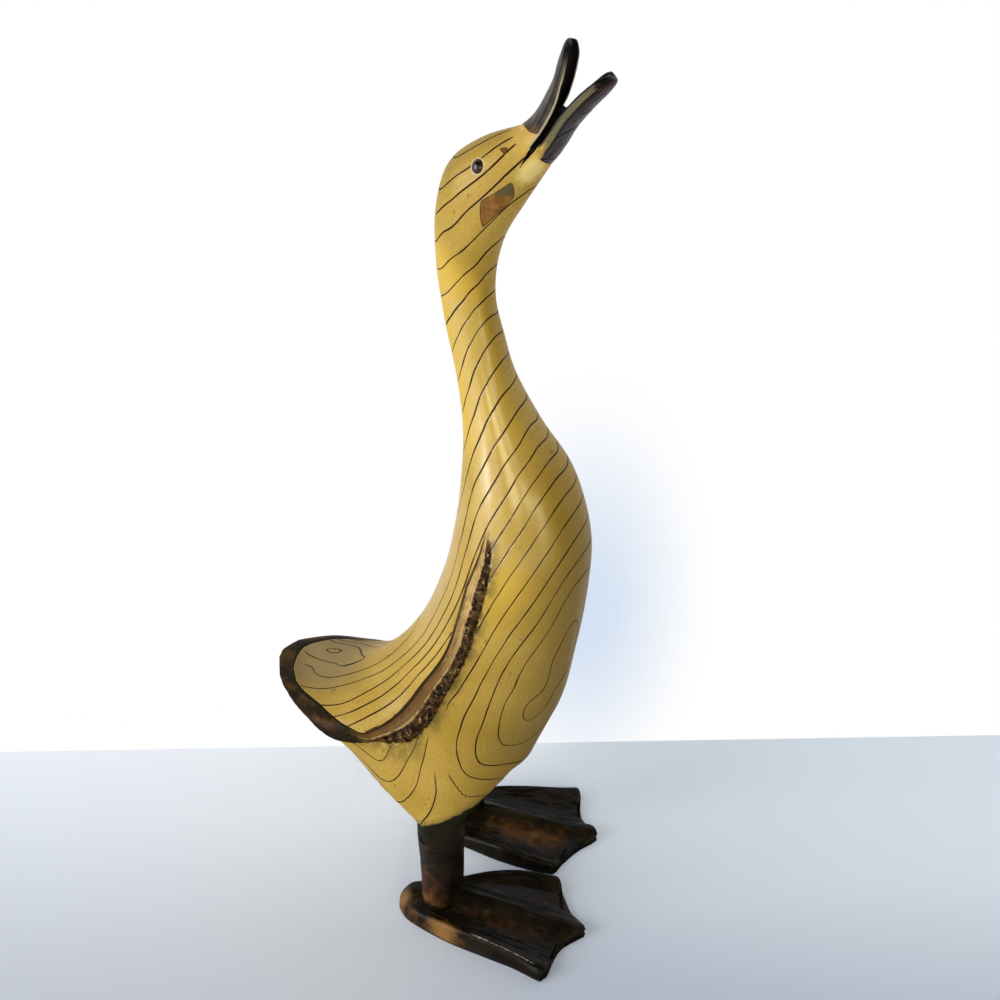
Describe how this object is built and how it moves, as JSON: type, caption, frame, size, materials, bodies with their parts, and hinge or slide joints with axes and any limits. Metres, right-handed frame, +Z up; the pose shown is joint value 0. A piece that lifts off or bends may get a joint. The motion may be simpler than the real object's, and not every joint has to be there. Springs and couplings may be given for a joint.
{
  "type": "duck figurine",
  "caption": "Standing carved wooden duck ornament with a raised open bill, incised wood-grain lines, bark-edged wings and broad webbed feet that carry it on its flat soles.",
  "frame": {"origin": "on the floor, under the middle of the part's box", "axes": "+Z up, +X the way the breast faces, +Y to the duck's left"},
  "size_m": [0.1968, 0.1684, 0.5204],
  "materials": {
    "lacquered_wood": "clear gloss lacquer over pale ochre wood with dark red-brown incised lines",
    "bill_stain": "dark grey-brown stain with an olive edge, satin",
    "foot_stain": "dark brown stain rubbed with bronze, satin gloss",
    "bare_wood": "bare, unfinished",
    "eye_glass": "polished, dark brown iris round a black pupil",
    "screw_steel": "plain zinc-bright steel"
  },
  "bodies": {
    "root": {"body": "lacquered_wood", "upper_bill": "bill_stain", "lower_bill": "bill_stain", "upper_bill_peg": "bare_wood", "lower_bill_peg": "bare_wood", "left_eye": "eye_glass", "left_leg": "foot_stain", "left_foot": "foot_stain", "left_hip_dowel": "bare_wood", "left_foot_screw": "screw_steel", "right_eye": "eye_glass", "right_leg": "foot_stain", "right_foot": "foot_stain", "right_hip_dowel": "bare_wood", "right_foot_screw": "screw_steel"}
  },
  "joints": []
}
